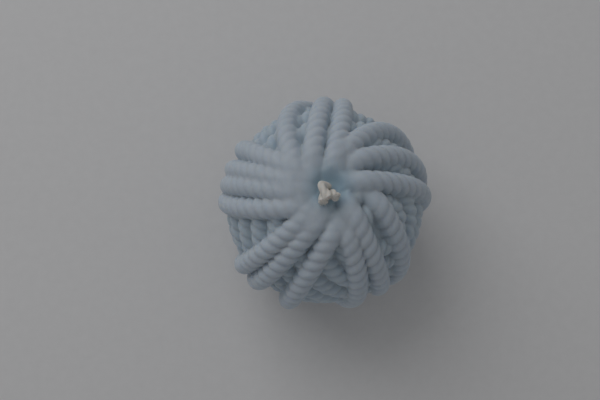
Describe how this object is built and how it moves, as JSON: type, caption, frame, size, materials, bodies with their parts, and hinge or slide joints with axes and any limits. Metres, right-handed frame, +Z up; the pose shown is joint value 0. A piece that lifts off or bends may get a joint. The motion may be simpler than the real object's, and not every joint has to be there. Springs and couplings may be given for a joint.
{
  "type": "yarn-ball candle",
  "caption": "Round wax candle moulded like a wound ball of thick twisted yarn, with a flat base, a plied cotton wick stub on top and a pressed steel wick tab below.",
  "frame": {"origin": "middle of the flat base, on the wick's axis", "axes": "+Z up along the wick, -Y towards the viewer in front, +X to the right"},
  "size_m": [0.07, 0.0688, 0.0665],
  "materials": {
    "wax": "satin",
    "cotton": "matt",
    "tinplate": "satin"
  },
  "bodies": {
    "root": {"wax_body": "wax", "wick_strand_1": "cotton", "wick_strand_2": "cotton", "wick_strand_3": "cotton", "wick_tab": "tinplate"}
  },
  "joints": []
}
